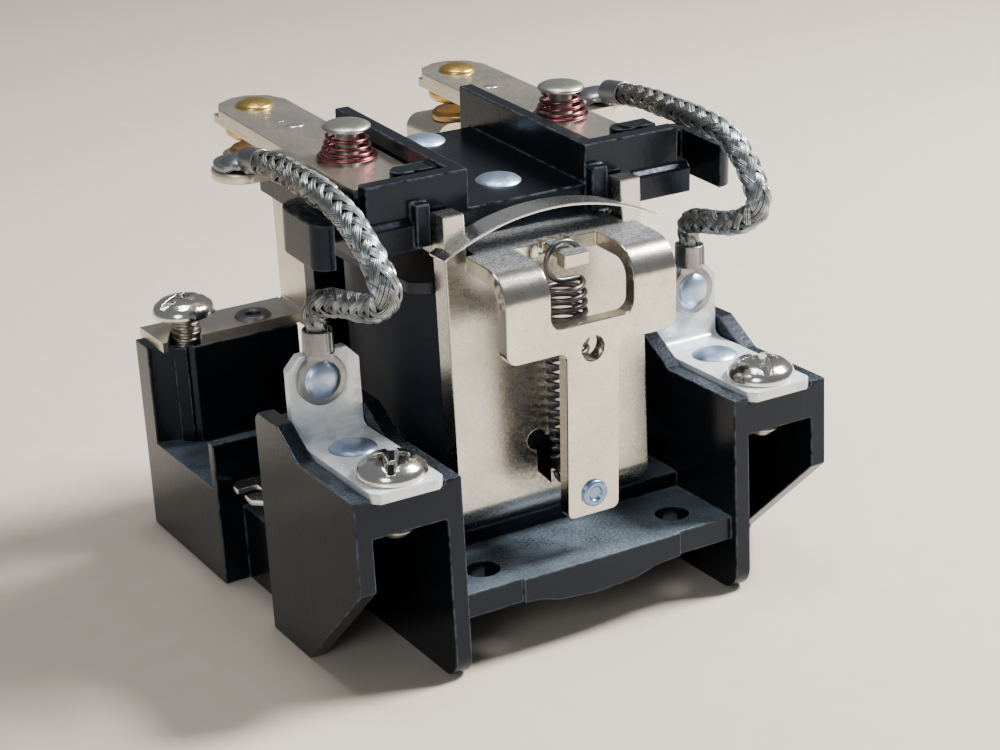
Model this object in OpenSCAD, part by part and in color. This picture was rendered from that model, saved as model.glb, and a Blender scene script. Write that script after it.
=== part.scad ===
// Open-frame power relay: a phenolic base with four terminal blocks, an iron frame with a
// coil, a hinged armature that carries two contact blades, and two braided pigtails.
// +X is right, -Y is the front, +Z is up. The origin is the centre of the base on the floor.

/* [Base] */
// Base width and depth, over the terminal blocks
base_w = 64; // [54:0.5:76]
// Base depth, front to rear
base_d = 64; // [54:0.5:76]
// Height of the mounting ledge
ledge_z = 10; // [8:0.1:11]
// Ledge thickness
ledge_t = 3; // [2:0.1:5]
// Height of the raised platform under the frame
plat_z = 12; // [11:0.1:14]
// Terminal block deck height, front
deck_z = 24.5; // [20:0.1:28]
// Terminal block wall thickness
wall_t = 2.1; // [1.5:0.1:3]
// Width of a front terminal block
block_w = 13.5; // [13.4:0.1:15]
// Mounting hole radius
hole_r = 2.05; // [1.6:0.05:2.6]
// Mounting hole spacing
hole_gap = 26.6; // [22:0.1:29]
// Distance of the mounting holes behind the front edge
hole_back = 6.1; // [5:0.1:8]

/* [Frame and coil] */
// Frame width
yoke_w = 26.5; // [22:0.1:30]
// Frame plate thickness
yoke_t = 3; // [2:0.1:4]
// Front face of the frame
yoke_y = -21.2; // [-22:0.1:-20]
// Frame height between the ears
yoke_z = 44.8; // [40:0.1:50]
// Height of the two ears
ear_z = 51.5; // [48:0.1:54]
// Ear width
ear_w = 2.8; // [2:0.1:4]
// Coil winding radius
coil_r = 15.3; // [12:0.1:15.8]
// Coil centre, measured from the origin
coil_y = -2.1; // [-4:0.1:0]
// Core radius
core_r = 5; // [4:0.1:6]
// Pole face radius
pole_r = 8; // [6:0.1:10]

/* [Armature] */
// Tilt of the armature at rest, in degrees
arm_tilt = 3.4; // [2:0.1:4]
// Armature plate thickness
arm_t = 1.9; // [1.4:0.1:2.4]
// Front face of the T-shaped arm
arm_y = -31.3; // [-32:0.1:-30]
// Crossbar half width
bar_w = 11.35; // [9:0.05:13]
// Crossbar lower edge
bar_z = 36.4; // [33:0.1:39]
// Stem half width
stem_w = 3.5; // [2.5:0.1:5]
// Stem lower end
stem_z = 15.3; // [14:0.1:20]
// Window half width
win_w = 5.5; // [4.8:0.1:6.5]
// Lower edge of the window
win_z = 39.6; // [38:0.1:41]
// Radius of the hole in the arm
arm_hole_r = 1.5; // [1:0.05:2]

/* [Contacts] */
// Distance of each contact blade from the middle
blade_x = 14.83; // [14.6:0.01:15.2]
// Blade width
blade_w = 9.4; // [8.6:0.1:9.4]
// Blade and under-strip thickness
blade_t = 1.2; // [0.8:0.1:1.3]
// Rear end of the blades, before the tilt
blade_end = 31; // [29:0.1:33]
// Contact centre, before the tilt
contact_y = 26; // [25:0.1:27]
// Moving and fixed contact radius
contact_r = 3.9; // [3:0.1:4.3]
// Pin head radius
pin_head_r = 2.95; // [2.5:0.05:3.5]
// Pin radius
pin_r = 1.45; // [1:0.05:1.6]
// Clearance of the pin in the blade
pin_gap = 0.6; // [0.4:0.05:1]
// Length of the turned-in fit of a rivet or pin
press_gap = 0.02; // [0.01:0.01:0.05]
// Carrier half width over the pockets
car_w = 20.95; // [20:0.05:22]
// Carrier wall height, before the tilt
car_z = 55.3; // [54:0.1:57]
// Outer face of the carrier wings
wing_x = 28.1; // [27.6:0.1:29]
// Front end of the carrier wings, before the tilt
wing_y = -19.2; // [-19.4:0.1:-17]
// Rear face of the carrier wings, before the tilt
wing_back = -8.1; // [-9:0.1:-6]
// Thickness of the carrier wings
wing_t = 2.3; // [2.1:0.1:2.8]
// Underside of the carrier wings, before the tilt
wing_z = 47.2; // [46:0.1:48.5]

/* [Terminals] */
// Clearance between a front strip and the outer wall of its block
strip_gap = 0.15; // [0.1:0.05:0.2]
// Front strip width
strip_w = 9.1; // [8:0.1:9.2]
// Strip thickness
strip_t = 1.3; // [1:0.05:1.6]
// Top of the upright leg
leg_z = 35.8; // [34:0.1:38]
// Screw head radius
head_r = 4.1; // [3.5:0.05:4.3]
// Screw head height
head_h = 2.5; // [2:0.1:3]
// Screw thread radius
screw_r = 2; // [1.7:0.05:2.2]
// Clearance of the screw in its strip
screw_gap = 0.05; // [0.03:0.01:0.1]
// How far the rear screws stand backed out
back_out = 2.4; // [0:0.1:3]

/* [Springs and braids] */
// Return spring wire thickness
ret_wire = 0.7; // [0.5:0.05:0.7]
// Return spring turns
ret_n = 18; // [15:1:18]
// Contact spring wire thickness
con_wire = 0.4; // [0.3:0.05:0.4]
// Contact spring turns
con_n = 4; // [3:1:4]
// Braid thickness
braid_d = 3.2; // [2.8:0.1:3.4]

/* [Hidden] */

hw = base_w / 2;
hd = base_d / 2;
block_in = hw - block_w;         // inner face of a front block
strip_x = hw - wall_t - strip_gap - strip_w / 2;
post_f = hd - 7.8;               // front face of the tall part of a rear post
piv_y = yoke_y;
piv_z = yoke_z + 0.1;
arm_z = yoke_z + 0.3;            // underside of the level armature plate
arm_top = arm_z + arm_t;
web_z = 50.6;                    // top of the carrier plate
car_f = -17.3;                   // front face of the carrier
under_z = web_z + 0.3;           // underside of the under-strip
blade_z = under_z + blade_t;     // underside of the blade
blade_top = blade_z + blade_t;
pin_y = -0.56;
pin_top = 57.9;
lug_x = 25.2;
lug_y = 7.2;
fer_y = 4.76;                    // inner end of the upper ferrule, before the tilt
fer_z = 53.7;
fer_l = 3.9;
fer_rise = 8.5;
fer_in = 2.2;                    // depth of the braid in a ferrule
fer_r = braid_d / 2 + 0.4;
crimp_gap = 0.05;
lug_bx = strip_x + 0.6;
fer_bz = 38.7;                   // mouth of the lower ferrule
fer_bl = 2.8;
screw_y = -28.2;
rivet_y = -18.5;
leg_y = -12.3;                   // front face of the upright leg
lug_z = 32.6;
rear_x = hw - 5.4;
rear_y = hd - 4.7;
rear_deck = 26.3;
rear_rx = 17;
seat_z = deck_z + strip_t;
rear_seat = rear_deck + strip_t;
leaf_z = 50.75;                  // crown of the hinge leaf
fix_y = 25.2;
fix_z = 49.8;

// The armature group is drawn level and then tilted about the hinge edge.
module arm_pose() {
  translate([0, piv_y, piv_z]) rotate([arm_tilt, 0, 0]) translate([0, -piv_y, -piv_z])
    children();
}
module box(x0, x1, y0, y1, z0, z1) {
  translate([x0, y0, z0]) cube([x1 - x0, y1 - y0, z1 - z0]);
}
module cyl(x, y, z0, z1, r, n = 32) {
  translate([x, y, z0]) cylinder(r = r, h = z1 - z0, $fn = n);
}
module both() {
  children();
  mirror([1, 0, 0]) children();
}
// A profile drawn in Y and Z, run from x0 to x1.
module along_x(x0, x1) {
  translate([x0, 0, 0]) rotate([90, 0, 90]) linear_extrude(x1 - x0) children();
}
// A profile drawn in X and Z, run from y0 back to y1.
module along_y(y0, y1) {
  translate([0, y1, 0]) rotate([90, 0, 0]) linear_extrude(y1 - y0) children();
}

// Base: front blocks, ledge, platform, side walls, rear posts and the rear barrier.
module wall_outer() {
  polygon([[-hd, 14], [-hd, 25.2], [-18, 25.2], [-12.8, 28.3], [-7.5, 28.3], [-6.5, 27.3],
    [-6.5, 0], [-16.6, 0]]);
}
module wall_inner() {
  difference() {
    polygon([[-hd, 0], [-hd, 25.2], [-18, 25.2], [-12.8, 28.3], [-7.5, 28.3], [-6.5, 27.3],
      [-6.5, 0]]);
    difference() {
      translate([-hd - 1, -1]) square([4, 4]);
      translate([-hd + 3, 3]) circle(r = 3, $fn = 32);
    }
  }
}
module front_block() {
  along_x(hw - wall_t, hw) wall_outer();
  along_x(block_in, block_in + wall_t) wall_inner();
  box(block_in + 1, hw - 1, -hd, -9, 20.4, deck_z);
  box(block_in + 1, hw - 1, -9, -6.5, 0, 27);
}
module rear_post() {
  difference() {
    union() {
      box(20, hw, 8, hd, 0, 12.8);
      box(20, hw, 8, 9.6, 0, 19);
      difference() {
        box(12, hw, post_f, hd, 0, rear_deck);
        cyl(hw + 0.5, post_f - 2.5, 12.8, rear_deck + 1, 6.1, 40);
      }
    }
    box(22, hw - 2.2, 10.2, hd - 2.2, -1, 10.6);
    box(13.5, 20.2, post_f + 1.6, hd - 2, -1, 22.5);
  }
}
module base_block() {
  color([0.07, 0.07, 0.08]) difference() {
    union() {
      both() front_block();
      both() rear_post();
      box(-block_in - 1, block_in + 1, -hd + 1, -19.4, ledge_z - ledge_t, ledge_z);
      along_y(0.6 - hd, 2 - hd) polygon([[-10.9, ledge_z], [10.9, ledge_z],
        [10.9, ledge_z - ledge_t], [7.6, ledge_z - ledge_t - 0.2], [4.4, 5.9], [-1, 5.6],
        [-6.4, 6.1], [-8.6, ledge_z - ledge_t - 0.2], [-10.9, ledge_z - ledge_t]]);
      box(-block_in - 1, block_in + 1, -19.4, 14.6, 7, plat_z);
      box(-block_in - 1, block_in + 1, 14.6, 24.4, 7, 10.5);
      both() box(block_in, hw - 3.4, -7, 10, 6, 10);
      both() box(hw - 5.5, hw - 3.4, -7, 8.2, 0, 10);
      box(-22, 22, 19.5, 21.8, 0, 14);
      box(-13, 13, hd - 2.2, hd, 0, 14);
      box(-13.5, 13.5, 14.5, 17.5, 7, 43.5);
    }
    both() cyl(hole_gap / 2, -hd + hole_back, ledge_z - ledge_t - 1, ledge_z + 1, hole_r, 40);
    both() cyl(strip_x, screw_y, 19, deck_z + 1, screw_r + 0.35, 32);
    both() cyl(strip_x, rivet_y, 19, deck_z + 1, 1.7 + press_gap, 32);
    both() cyl(rear_x, rear_y, 18, rear_deck + 1, screw_r + 0.1, 32);
    both() cyl(rear_rx, rear_y, 21, rear_deck + 1, 1.7 + press_gap, 32);
    cyl(0, coil_y, 5, plat_z + 1, core_r - 1 + press_gap, 32);
  }
}

// Frame: upright plate with two ears, a rounded lower bend, a floor strip and a hook lug.
module yoke_frame() {
  color([0.72, 0.68, 0.6]) difference() {
    union() {
      along_x(-yoke_w / 2, yoke_w / 2) difference() {
        union() {
          translate([yoke_y, plat_z + 3.5]) square([yoke_t, yoke_z - plat_z - 3.5]);
          translate([yoke_y + 3.5, plat_z]) square([31, yoke_t]);
          intersection() {
            translate([yoke_y + 3.5, plat_z + 3.5]) circle(r = 3.5, $fn = 48);
            translate([yoke_y, plat_z]) square([3.5, 3.5]);
          }
        }
        translate([yoke_y + 3.5, plat_z + 3.5]) circle(r = 0.5, $fn = 16);
      }
      both() box(yoke_w / 2 - ear_w, yoke_w / 2, yoke_y, yoke_y + yoke_t, yoke_z - 1, ear_z);
      box(-0.8, 0.8, -27.2, yoke_y + 1, 18, 19.3);
      box(-1.6, 1.6, -27.2, -26.2, 17.6, 19.5);
    }
    cyl(0, coil_y, plat_z - 1, plat_z + yoke_t + 1, core_r - 1 + press_gap, 32);
    translate([-3.2, yoke_y - 1, 23.2]) rotate([-90, 0, 0]) cylinder(r = 1.2, h = 6, $fn = 24);
    translate([-8.6, yoke_y - 1, 12.4]) rotate([0, 45, 0]) cube([1.4, 3, 1.4], center = true);
  }
}

// Core: riveted through the floor strip, with a wide pole face on top.
module core_pole() {
  color([0.6, 0.6, 0.6]) union() {
    cyl(0, coil_y, plat_z - 2, plat_z + yoke_t, core_r - 1, 32);
    cyl(0, coil_y, plat_z + yoke_t, yoke_z - 1.5, core_r, 40);
    cyl(0, coil_y, yoke_z - 1.6, yoke_z, pole_r, 40);
  }
}

// Bobbin: tube, two square flanges and two seats for the coil terminals.
module flange(z0, z1) {
  translate([0, coil_y, z0]) linear_extrude(z1 - z0)
    offset(r = 2.5, $fn = 32) square([2 * coil_r - 4.4, 2 * coil_r - 4.4], center = true);
}
module bobbin() {
  color([0.05, 0.05, 0.05]) difference() {
    union() {
      cyl(0, coil_y, plat_z + yoke_t, yoke_z - 1.7, core_r + 1.4, 40);
      flange(plat_z + yoke_t, plat_z + yoke_t + 1.5);
      flange(yoke_z - 3.2, yoke_z - 1.7);
      both() box(13.6, 18, 0.4, 7.2, plat_z, plat_z + yoke_t + 0.5);
    }
    cyl(0, coil_y, plat_z, yoke_z, core_r + press_gap, 40);
    both() box(15.4, 19, 1, 6.6, 13.2, 14);
  }
}
module coil_winding() {
  color([0.03, 0.03, 0.03]) difference() {
    cyl(0, coil_y, plat_z + yoke_t + 1.6, yoke_z - 3.3, coil_r, 64);
    cyl(0, coil_y, plat_z, yoke_z, core_r + 1.5, 40);
  }
}
module coil_tab() {
  tab_x = hw - 1.4;
  color([0.7, 0.7, 0.68]) difference() {
    union() {
      box(15.5, 22, 1.1, 6.5, 13.25, 13.95);
      translate([0, 0, 13.25]) linear_extrude(0.7) polygon([[20.6, -0.7], [tab_x - 1.2, -0.7],
        [tab_x, 0.5], [tab_x, 6.1], [tab_x - 1.2, 7.3], [20.6, 7.3]]);
    }
    box(tab_x - 2.6, tab_x + 1, 2.5, 4.5, 12, 15);
    cyl(tab_x - 6.2, 3.4, 12, 15, 0.7, 20);
  }
}
module coil_terminal_right() {
  coil_tab();
}
module coil_terminal_left() {
  mirror([1, 0, 0]) coil_tab();
}

// Armature: bent plate with a window over the bend, a hook tongue and a T-shaped arm.
module arm_profile() {
  difference() {
    union() {
      translate([arm_y + 4, arm_z]) square([12.6 - arm_y - 4, arm_t]);
      translate([arm_y, 14]) square([arm_t, arm_top - 4 - 14]);
      intersection() {
        translate([arm_y + 4, arm_top - 4]) circle(r = 4, $fn = 64);
        translate([arm_y, arm_top - 4]) square([4, 4]);
      }
    }
    translate([arm_y + 4, arm_top - 4]) circle(r = 4 - arm_t, $fn = 48);
  }
}
module tee() {
  difference() {
    union() {
      hull() {
        translate([-bar_w + 1.5, bar_z + 1.5]) circle(r = 1.5, $fn = 24);
        translate([bar_w - 1.5, bar_z + 1.5]) circle(r = 1.5, $fn = 24);
        translate([-bar_w, 50]) square([2 * bar_w, 1]);
      }
      translate([-stem_w, stem_z + 1]) square([2 * stem_w, bar_z - stem_z + 1]);
      difference() {
        translate([-stem_w - 1, bar_z - 1]) square([2 * stem_w + 2, 2]);
        for (s = [-1, 1]) translate([s * (stem_w + 1), bar_z - 1]) circle(r = 1, $fn = 24);
      }
      hull() {
        translate([-stem_w + 0.9, stem_z + 0.9]) circle(r = 0.9, $fn = 20);
        translate([stem_w - 0.9, stem_z + 0.9]) circle(r = 0.9, $fn = 20);
        translate([-stem_w, stem_z + 2]) square([2 * stem_w, 1]);
      }
    }
    translate([0, bar_z - 0.1]) circle(r = arm_hole_r, $fn = 32);
    translate([0, 18.1]) circle(r = 1.1 + press_gap, $fn = 24);
  }
}
module armature() {
  color([0.75, 0.7, 0.62]) arm_pose() difference() {
    union() {
      intersection() {
        along_x(-bar_w, bar_w) arm_profile();
        along_y(-40, -22.4) tee();
      }
      difference() {
        intersection() {
          along_x(-12, 12) arm_profile();
          box(-12, 12, -22.4, 13, 40, 50);
        }
        both() box(yoke_w / 2 - ear_w - 0.35, 20, -23, yoke_y + yoke_t + 0.4, 40, 50);
      }
    }
    difference() {
      union() {
        box(-win_w, win_w, arm_y + 2.5, -21.9, 40, 50);
        along_y(-40, -28.4) hull() {
          translate([-win_w + 1.4, win_z + 1.4]) circle(r = 1.4, $fn = 24);
          translate([win_w - 1.4, win_z + 1.4]) circle(r = 1.4, $fn = 24);
          translate([-win_w, 49]) square([2 * win_w, 1]);
        }
      }
      box(-0.8, 0.8, -26.4, -21, arm_z + 0.2, arm_top - 0.5);
      box(-1.7, 1.7, -28, -26.2, arm_z, arm_top - 0.2);
      box(-win_w - 1, -2.1, -23.1, -21, arm_z, arm_top);
      box(1.9, win_w + 1, -23.3, -21, arm_z, arm_top);
    }
    cyl(0, -10.4, 40, 50, 1.5 + press_gap, 32);
    cyl(0, 8.2, 40, 50, 1.5 + press_gap, 32);
  }
}
module stem_rivet() {
  color([0.75, 0.78, 0.82]) arm_pose() translate([0, arm_y, 18.1]) rotate([-90, 0, 0]) union() {
    rotate_extrude($fn = 36) polygon([[0, -0.1], [0.75, -0.1], [0.95, -0.42], [1.3, -0.5],
      [1.62, -0.35], [1.7, 0], [1.1, 0], [1.1, arm_t], [1.5, arm_t], [1.5, arm_t + 0.3],
      [0, arm_t + 0.3]]);
  }
}

// Hinge leaf: a thin arched spring threaded over the two ears.
module leaf_arc() {
  difference() {
    translate([0, leaf_z - 30]) circle(r = 30, $fn = 180);
    translate([0, leaf_z - 30.35]) circle(r = 30, $fn = 180);
    translate([-50, -60]) square([100, 60 + 46]);
    translate([-50, 0]) square([50 - 14.3, 60]);
    translate([14.3, 0]) square([40, 60]);
  }
}
module hinge_leaf() {
  color([0.85, 0.85, 0.83]) difference() {
    along_y(-23.1, -19.4) leaf_arc();
    both() box(yoke_w / 2 - ear_w - 0.1, yoke_w / 2 + 0.1, yoke_y - 0.1, -17, 40, 60);
  }
}

// One unbroken wire or braid: rings set square to the path, joined by triangles.
function unit(v) = v / norm(v);
function tang(p) = [for (i = [0 : len(p) - 1])
  unit(i == 0 ? p[1] - p[0] : i == len(p) - 1 ? p[i] - p[i - 1] : p[i + 1] - p[i - 1])];
function flat(n, t) = unit(n - (n * t) * t);
function norms(t, n0) = [for (i = 0, n = flat(n0, t[0]); i < len(t);
  n = i + 1 < len(t) ? flat(n, t[i + 1]) : n, i = i + 1) n];
module sweep(p, r, m, n0) {
  t = tang(p);
  n = norms(t, n0);
  k = len(p);
  pts = [for (i = [0 : k - 1]) for (j = [0 : m - 1]) let (a = 360 * j / m)
    p[i] + r * (cos(a) * n[i] + sin(a) * cross(t[i], n[i]))];
  caps = [p[0], p[k - 1]];
  f1 = [for (i = [0 : k - 2]) for (j = [0 : m - 1]) let (j2 = (j + 1) % m)
    [i * m + j, i * m + j2, (i + 1) * m + j]];
  f2 = [for (i = [0 : k - 2]) for (j = [0 : m - 1]) let (j2 = (j + 1) % m)
    [i * m + j2, (i + 1) * m + j2, (i + 1) * m + j]];
  f3 = [for (j = [0 : m - 1]) [k * m, (j + 1) % m, j]];
  f4 = [for (j = [0 : m - 1]) [k * m + 1, (k - 1) * m + j, (k - 1) * m + (j + 1) % m]];
  polyhedron(points = concat(pts, caps), faces = [for (f = concat(f1, f2, f3, f4))
    [f[0], f[2], f[1]]], convexity = 10);
}
// Least distance between wire centres more than half a turn apart along the path.
function least(p, gap) = min([for (i = [0 : 2 : len(p) - 1]) for (j = [i + gap : len(p) - 1])
  norm(p[i] - p[j])]);

// Return spring: a ring on the hook lug, the close coil, and a ring on the tongue.
ret_r = 2.3;
ret_y = -25;
ret_z0 = 19.6;
ret_z1 = 44.7;
ret_h = ret_z1 - ret_z0 - 2 * ret_r;
function ease(t) = t <= 0 ? 0 : t >= 1 ? 1 : t * t * (3 - 2 * t);
ret_path = concat(
  [for (a = [-200 : 45 : 60]) [ret_r * cos(a), ret_y, ret_z0 + ret_r * sin(a)]],
  [for (i = [0 : ret_n * 8]) let (a = 90 + i * 45, t = i / (ret_n * 8),
    e = ease(i / 4) * ease((ret_n * 8 - i) / 4))
    [ret_r * cos(a), ret_y + ret_r * sin(a) * e, ret_z0 + ret_r + ret_h * t]],
  [for (a = [-120 : -45 : -380]) [ret_r * cos(a), ret_y, ret_z1 + ret_r * sin(a)]]);
module return_spring() {
  echo(return_spring_gap = least(ret_path, 5) - ret_wire);
  color([0.2, 0.19, 0.2]) sweep(ret_path, ret_wire / 2, 6, [0, 1, 0]);
}

// Contact springs: cones of fine wire between the blade and the pin head.
con_r0 = 3.85;
con_r1 = 2.35;
con_z0 = blade_top + con_wire / 2 + 0.05;
con_z1 = pin_top - 1 - con_wire / 2 - 0.05;
con_path = [for (i = [0 : con_n * 8]) let (t = i / (con_n * 8), a = i * 45)
  [blade_x + (con_r0 + (con_r1 - con_r0) * t) * cos(a),
   pin_y + (con_r0 + (con_r1 - con_r0) * t) * sin(a), con_z0 + (con_z1 - con_z0) * t]];
module con_spring() {
  echo(contact_spring_gap = least(con_path, 5) - con_wire);
  color([0.45, 0.15, 0.12]) arm_pose() sweep(con_path, con_wire / 2, 6, [1, 0, 0]);
}
module contact_spring_right() {
  con_spring();
}
module contact_spring_left() {
  mirror([1, 0, 0]) con_spring();
}

// Contact carrier: plate, two pockets, channel walls, feet, bars and hooked wings.
module wing_plan() {
  difference() {
    union() {
      translate([car_w - 1, wing_y]) square([wing_x - 2 - car_w + 1, wing_back - wing_y]);
      translate([car_w, wing_y + 2]) square([wing_x - car_w, wing_back - wing_y - 5]);
      translate([wing_x - 2, wing_y + 2]) circle(r = 2, $fn = 36);
      translate([wing_x - 3, wing_back - 3]) circle(r = 3, $fn = 48);
    }
    translate([wing_x - 3, wing_back - 3]) square([4, 4]);
    translate([car_w - 2, wing_y - 1]) square([wing_x - wing_t - car_w + 2, wing_back - wing_y - 2]);
  }
  intersection() {
    translate([wing_x - 3, wing_back - 3]) circle(r = 3, $fn = 48);
    translate([wing_x - 3, wing_back - 3]) square([3, 3]);
  }
}
module wing() {
  translate([0, 0, wing_z]) linear_extrude(52.6 - wing_z) wing_plan();
}
module pocket() {
  box(7.86, car_w, car_f, car_f + 2.1, 47, car_z);
  box(7.86, 9.8, car_f, 13, 47, car_z);
  along_x(14.2, 22.4) polygon([[-18, 47.1], [-18, 50.2], [-17.3, 50.9], [-15, 50.9], [-15, 47.1]]);
  box(car_w - 1.5, 22.4, -15.4, wing_back, 47.1, web_z);
  box(19.95, car_w + 0.3, wing_back - 3, 3.1, web_z - 1, 52.3);
  wing();
}
module contact_carrier() {
  color([0.06, 0.06, 0.07]) arm_pose() difference() {
    union() {
      box(-car_w, car_w, car_f, 12, arm_top, web_z);
      both() pocket();
      box(-15.4, -13.6, car_f - 1.4, car_f + 1, 47.5, 52.6);
      box(7.9, 10.1, car_f - 1.4, car_f + 1, 47.5, 52.8);
      bar_end(-15, -9);
      bar_end(14.9, 20.6);
    }
    both() cyl(blade_x, pin_y, 46, 60, pin_r + press_gap, 32);
    cyl(0, -10.4, 46, 60, 1.5 + press_gap, 32);
    cyl(0, 8.2, 46, 60, 1.5 + press_gap, 32);
    box(-7.86, 7.86, 10.4, 13, 46, 60);
  }
}
// A low bar across one end of a pocket, over the blade's notch.
module bar_end(x0, x1) {
  box(x0 + 1, x1, -13.2, -10.6, web_z - 1, car_z - 0.5);
  cyl(x0 + 1.3, -11.9, web_z - 1, car_z - 0.5, 1.3, 28);
}
module dome(r, h, n = 40) {
  intersection() {
    translate([0, 0, h - (r * r + h * h) / (2 * h)]) sphere(r = (r * r + h * h) / (2 * h), $fn = n);
    cylinder(r = r + 1, h = h + 1, $fn = n);
  }
}
module carrier_rivet(y) {
  translate([0, y, web_z]) rotate_extrude($fn = 36)
    polygon([[0, 0.75], [1.4, 0.65], [2.4, 0.3], [2.8, 0], [1.5, 0], [1.5, arm_z - web_z],
      [0, arm_z - web_z]]);
}
module carrier_rivets() {
  color([0.72, 0.78, 0.85]) arm_pose() {
    carrier_rivet(-10.4);
    carrier_rivet(8.2);
  }
}

// Contact blades: blade, under-strip and the side tab for the pigtail.
module blade() {
  bx0 = blade_x - blade_w / 2;
  bx1 = blade_x + blade_w / 2;
  color([0.74, 0.7, 0.62]) arm_pose() difference() {
    union() {
      translate([0, 0, blade_z]) linear_extrude(blade_t) polygon([[bx0, -11.5], [bx1, -11.5],
        [bx1, blade_end - 4.2], [bx1 - 1.2, blade_end - 1.4], [bx1 - 3.6, blade_end],
        [bx0 + 3.6, blade_end], [bx0 + 1.2, blade_end - 1.4], [bx0, blade_end - 4.2]]);
      box(bx0 + 0.6, bx1 - 0.4, -9, blade_end - 1.5, under_z, blade_z);
      box(bx1 - 2, lug_x, lug_y - 3.6, lug_y + 3.6, under_z, blade_z);
      cyl(lug_x, lug_y, under_z, blade_z, 3.6, 36);
    }
    cyl(blade_x, pin_y, 50, 60, pin_r + pin_gap, 32);
    cyl(blade_x, contact_y, 50, 60, 1.5 + press_gap, 28);
    cyl(lug_x, lug_y, 50, 60, 1.2 + press_gap, 28);
  }
}
module blade_right() {
  difference() {
    blade();
    arm_pose() box(14.5, 21, -14, -10.2, 50, 60);
  }
}
module blade_left() {
  difference() {
    mirror([1, 0, 0]) blade();
    arm_pose() box(-15.4, -9, -14, -10.2, 50, 60);
  }
}
module moving_contact() {
  color([0.85, 0.68, 0.25]) arm_pose() translate([blade_x, contact_y, 0])
    rotate_extrude($fn = 40) polygon([[0, blade_top + 0.9], [1.3, blade_top + 0.8],
      [2.3, blade_top + 0.35], [2.5, blade_top], [1.5, blade_top], [1.5, under_z],
      [contact_r, under_z], [contact_r, 49.9], [contact_r - 0.6, 49.48], [0, 49.48]]);
}
module moving_contact_right() {
  moving_contact();
}
module moving_contact_left() {
  mirror([1, 0, 0]) moving_contact();
}
module spring_pin() {
  color([0.72, 0.71, 0.68]) arm_pose() translate([blade_x, pin_y, 0]) rotate_extrude($fn = 40)
    polygon([[0, pin_top], [pin_head_r - 1.3, pin_top - 0.08], [pin_head_r - 0.55, pin_top - 0.22],
      [pin_head_r - 0.12, pin_top - 0.45], [pin_head_r, pin_top - 0.68],
      [pin_head_r - 0.15, pin_top - 0.9], [pin_head_r - 0.8, pin_top - 1],
      [pin_r, pin_top - 1], [pin_r, 47.2], [0, 47.2]]);
}
module spring_pin_right() {
  spring_pin();
}
module spring_pin_left() {
  mirror([1, 0, 0]) spring_pin();
}

// Pigtails: crimped lugs with their rivets, and the braid between them.
// The upper end lies in the tilted ferrule, the lower end stands upright in its own.
fer_a = fer_rise - arm_tilt;
fer_dy = fer_y - piv_y - cos(fer_rise) * fer_l;
fer_dz = fer_z - piv_z + sin(fer_rise) * fer_l;
mouth = [lug_x, piv_y + fer_dy * cos(arm_tilt) - fer_dz * sin(arm_tilt),
  piv_z + fer_dy * sin(arm_tilt) + fer_dz * cos(arm_tilt)];
function out(d) = mouth + d * [0, -cos(fer_a), sin(fer_a)];
function low(d) = [lug_bx, leg_y - 0.3, fer_bz + d];
// The loop of one braid reaches d further back than the middle one.
function braid_pts(d) = concat([out(0.2 - fer_in), out(0), out(2.2)],
  [[25.2, -6.5, 55.8], [25.3, -12, 55.6], [25.4, -17, 55.2], [25.5, -20.8, 54.6],
  [25.5, -24.4 + 0.5 * d, 52.9], [25.4, -27.2 + 0.8 * d, 50.6], [25.3, -28.9 + d, 48.2],
  [25.2, -28.6 + d, 46.4], [25, -25.8 + 0.8 * d, 44.7], [24.9, -21.8 + 0.3 * d, 43.6],
  [25, -17.6, 42.9], [25.4, -13.9, 42]],
  [low(2), low(0), low(0.2 - fer_in)]);
function crom(a, b, c, d, t) = 0.5 * ((2 * b) + (c - a) * t + (2 * a - 5 * b + 4 * c - d) * t * t
  + (3 * b - a - 3 * c + d) * t * t * t);
function smooth(p, n) = concat([for (i = [0 : len(p) - 2]) for (k = [0 : n - 1])
  crom(p[max(0, i - 1)], p[i], p[i + 1], p[min(len(p) - 1, i + 2)], k / n)], [p[len(p) - 1]]);
module braid(d) {
  color([0.5, 0.5, 0.5]) sweep(smooth(braid_pts(d), 4), braid_d / 2, 10, [1, 0, 0]);
}
module pigtail_right() {
  braid(1);
}
module pigtail_left() {
  mirror([1, 0, 0]) braid(-1);
}
module ferrule() {
  translate([lug_x, fer_y, fer_z]) rotate([90 - fer_rise, 0, 0]) children();
}
module upper_lug() {
  color([0.55, 0.56, 0.58]) arm_pose() union() {
    difference() {
      union() {
        cyl(lug_x, lug_y, blade_z, blade_z + 0.8, 3.3, 36);
        box(lug_x - 1.6, lug_x + 1.6, 2.6, lug_y, blade_z, blade_z + 0.8);
        ferrule() cylinder(r = fer_r, h = fer_l, $fn = 32);
      }
      ferrule() translate([0, 0, fer_l - fer_in])
        cylinder(r = braid_d / 2 + crimp_gap, h = fer_l, $fn = 40);
      box(lug_x - 4, lug_x + 4, 1, 9, 50, blade_z);
    }
    translate([lug_x, lug_y, 0]) rotate_extrude($fn = 36)
      polygon([[0, blade_z + 1.6], [1.2, blade_z + 1.5], [2.2, blade_z + 1.1],
        [2.5, blade_z + 0.8], [1.2, blade_z + 0.8], [1.2, under_z - 0.3], [0, under_z - 0.3]]);
  }
}
module upper_lug_right() {
  upper_lug();
}
module upper_lug_left() {
  mirror([1, 0, 0]) upper_lug();
}
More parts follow.
